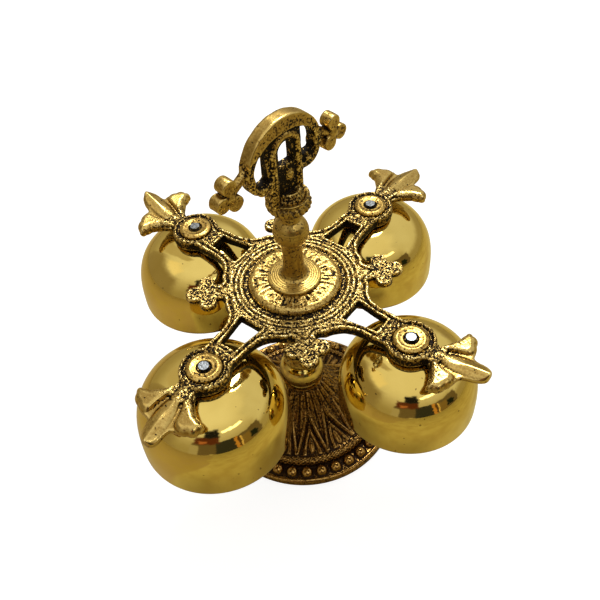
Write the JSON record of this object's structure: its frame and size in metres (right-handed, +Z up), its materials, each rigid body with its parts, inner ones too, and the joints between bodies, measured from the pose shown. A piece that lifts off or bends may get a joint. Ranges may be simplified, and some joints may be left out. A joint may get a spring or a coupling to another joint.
{
  "type": "altar bell",
  "caption": "Altar bell set: dome bells with swinging clappers hang from a cast cross frame on a beaded pedestal foot, with a pierced arched grip on a turned stem.",
  "frame": {"origin": "centre of the foot's underside, on the table", "axes": "+Z up the stem, +X along the right arm, +Y along the back arm"},
  "size_m": [0.229, 0.229, 0.217],
  "materials": {
    "antique_brass": "cast brass, wax-black patina in the recesses, edges rubbed bright",
    "polished_brass": "mirror polished",
    "turned_brass": "lathe turned, satin, fine concentric marks",
    "steel": "bright zinc-plated steel",
    "leather": "dark thin washer"
  },
  "bodies": {
    "stand": {"foot": "antique_brass", "foot_washer": "steel", "foot_nut": "steel", "knop": "polished_brass", "column": "turned_brass", "tie_rod": "steel", "cross_frame": "antique_brass", "handle_stem": "turned_brass", "grip_stud": "steel", "grip": "antique_brass", "bell_front": "polished_brass", "bell_right": "polished_brass", "bell_back": "polished_brass", "bell_left": "polished_brass", "hanger_front": "steel", "hanger_right": "steel", "hanger_back": "steel", "hanger_left": "steel", "boss_nuts": "polished_brass", "crown_washers": "leather", "crown_nuts": "steel", "clapper_pins": "steel"},
    "clapper_front": {"clapper_rod_front": "steel", "clapper_ball_front": "turned_brass"},
    "clapper_right": {"clapper_rod_right": "steel", "clapper_ball_right": "turned_brass"},
    "clapper_back": {"clapper_rod_back": "steel", "clapper_ball_back": "turned_brass"},
    "clapper_left": {"clapper_rod_left": "steel", "clapper_ball_left": "turned_brass"}
  },
  "joints": [
    {"name": "clapper_front_swing", "type": "hinge", "parent": "stand", "child": "clapper_front", "pos_m": [0, -0.07, 0.0985], "axis": [0, 1, 0], "range_deg": [-64.5, 64.5]},
    {"name": "clapper_right_swing", "type": "hinge", "parent": "stand", "child": "clapper_right", "pos_m": [0.07, 0, 0.0985], "axis": [1, 0, 0], "range_deg": [-65, 65]},
    {"name": "clapper_back_swing", "type": "hinge", "parent": "stand", "child": "clapper_back", "pos_m": [0, 0.07, 0.0985], "axis": [0, 1, 0], "range_deg": [-65, 65]},
    {"name": "clapper_left_swing", "type": "hinge", "parent": "stand", "child": "clapper_left", "pos_m": [-0.07, 0, 0.0985], "axis": [1, 0, 0], "range_deg": [-64.5, 64.5]}
  ]
}
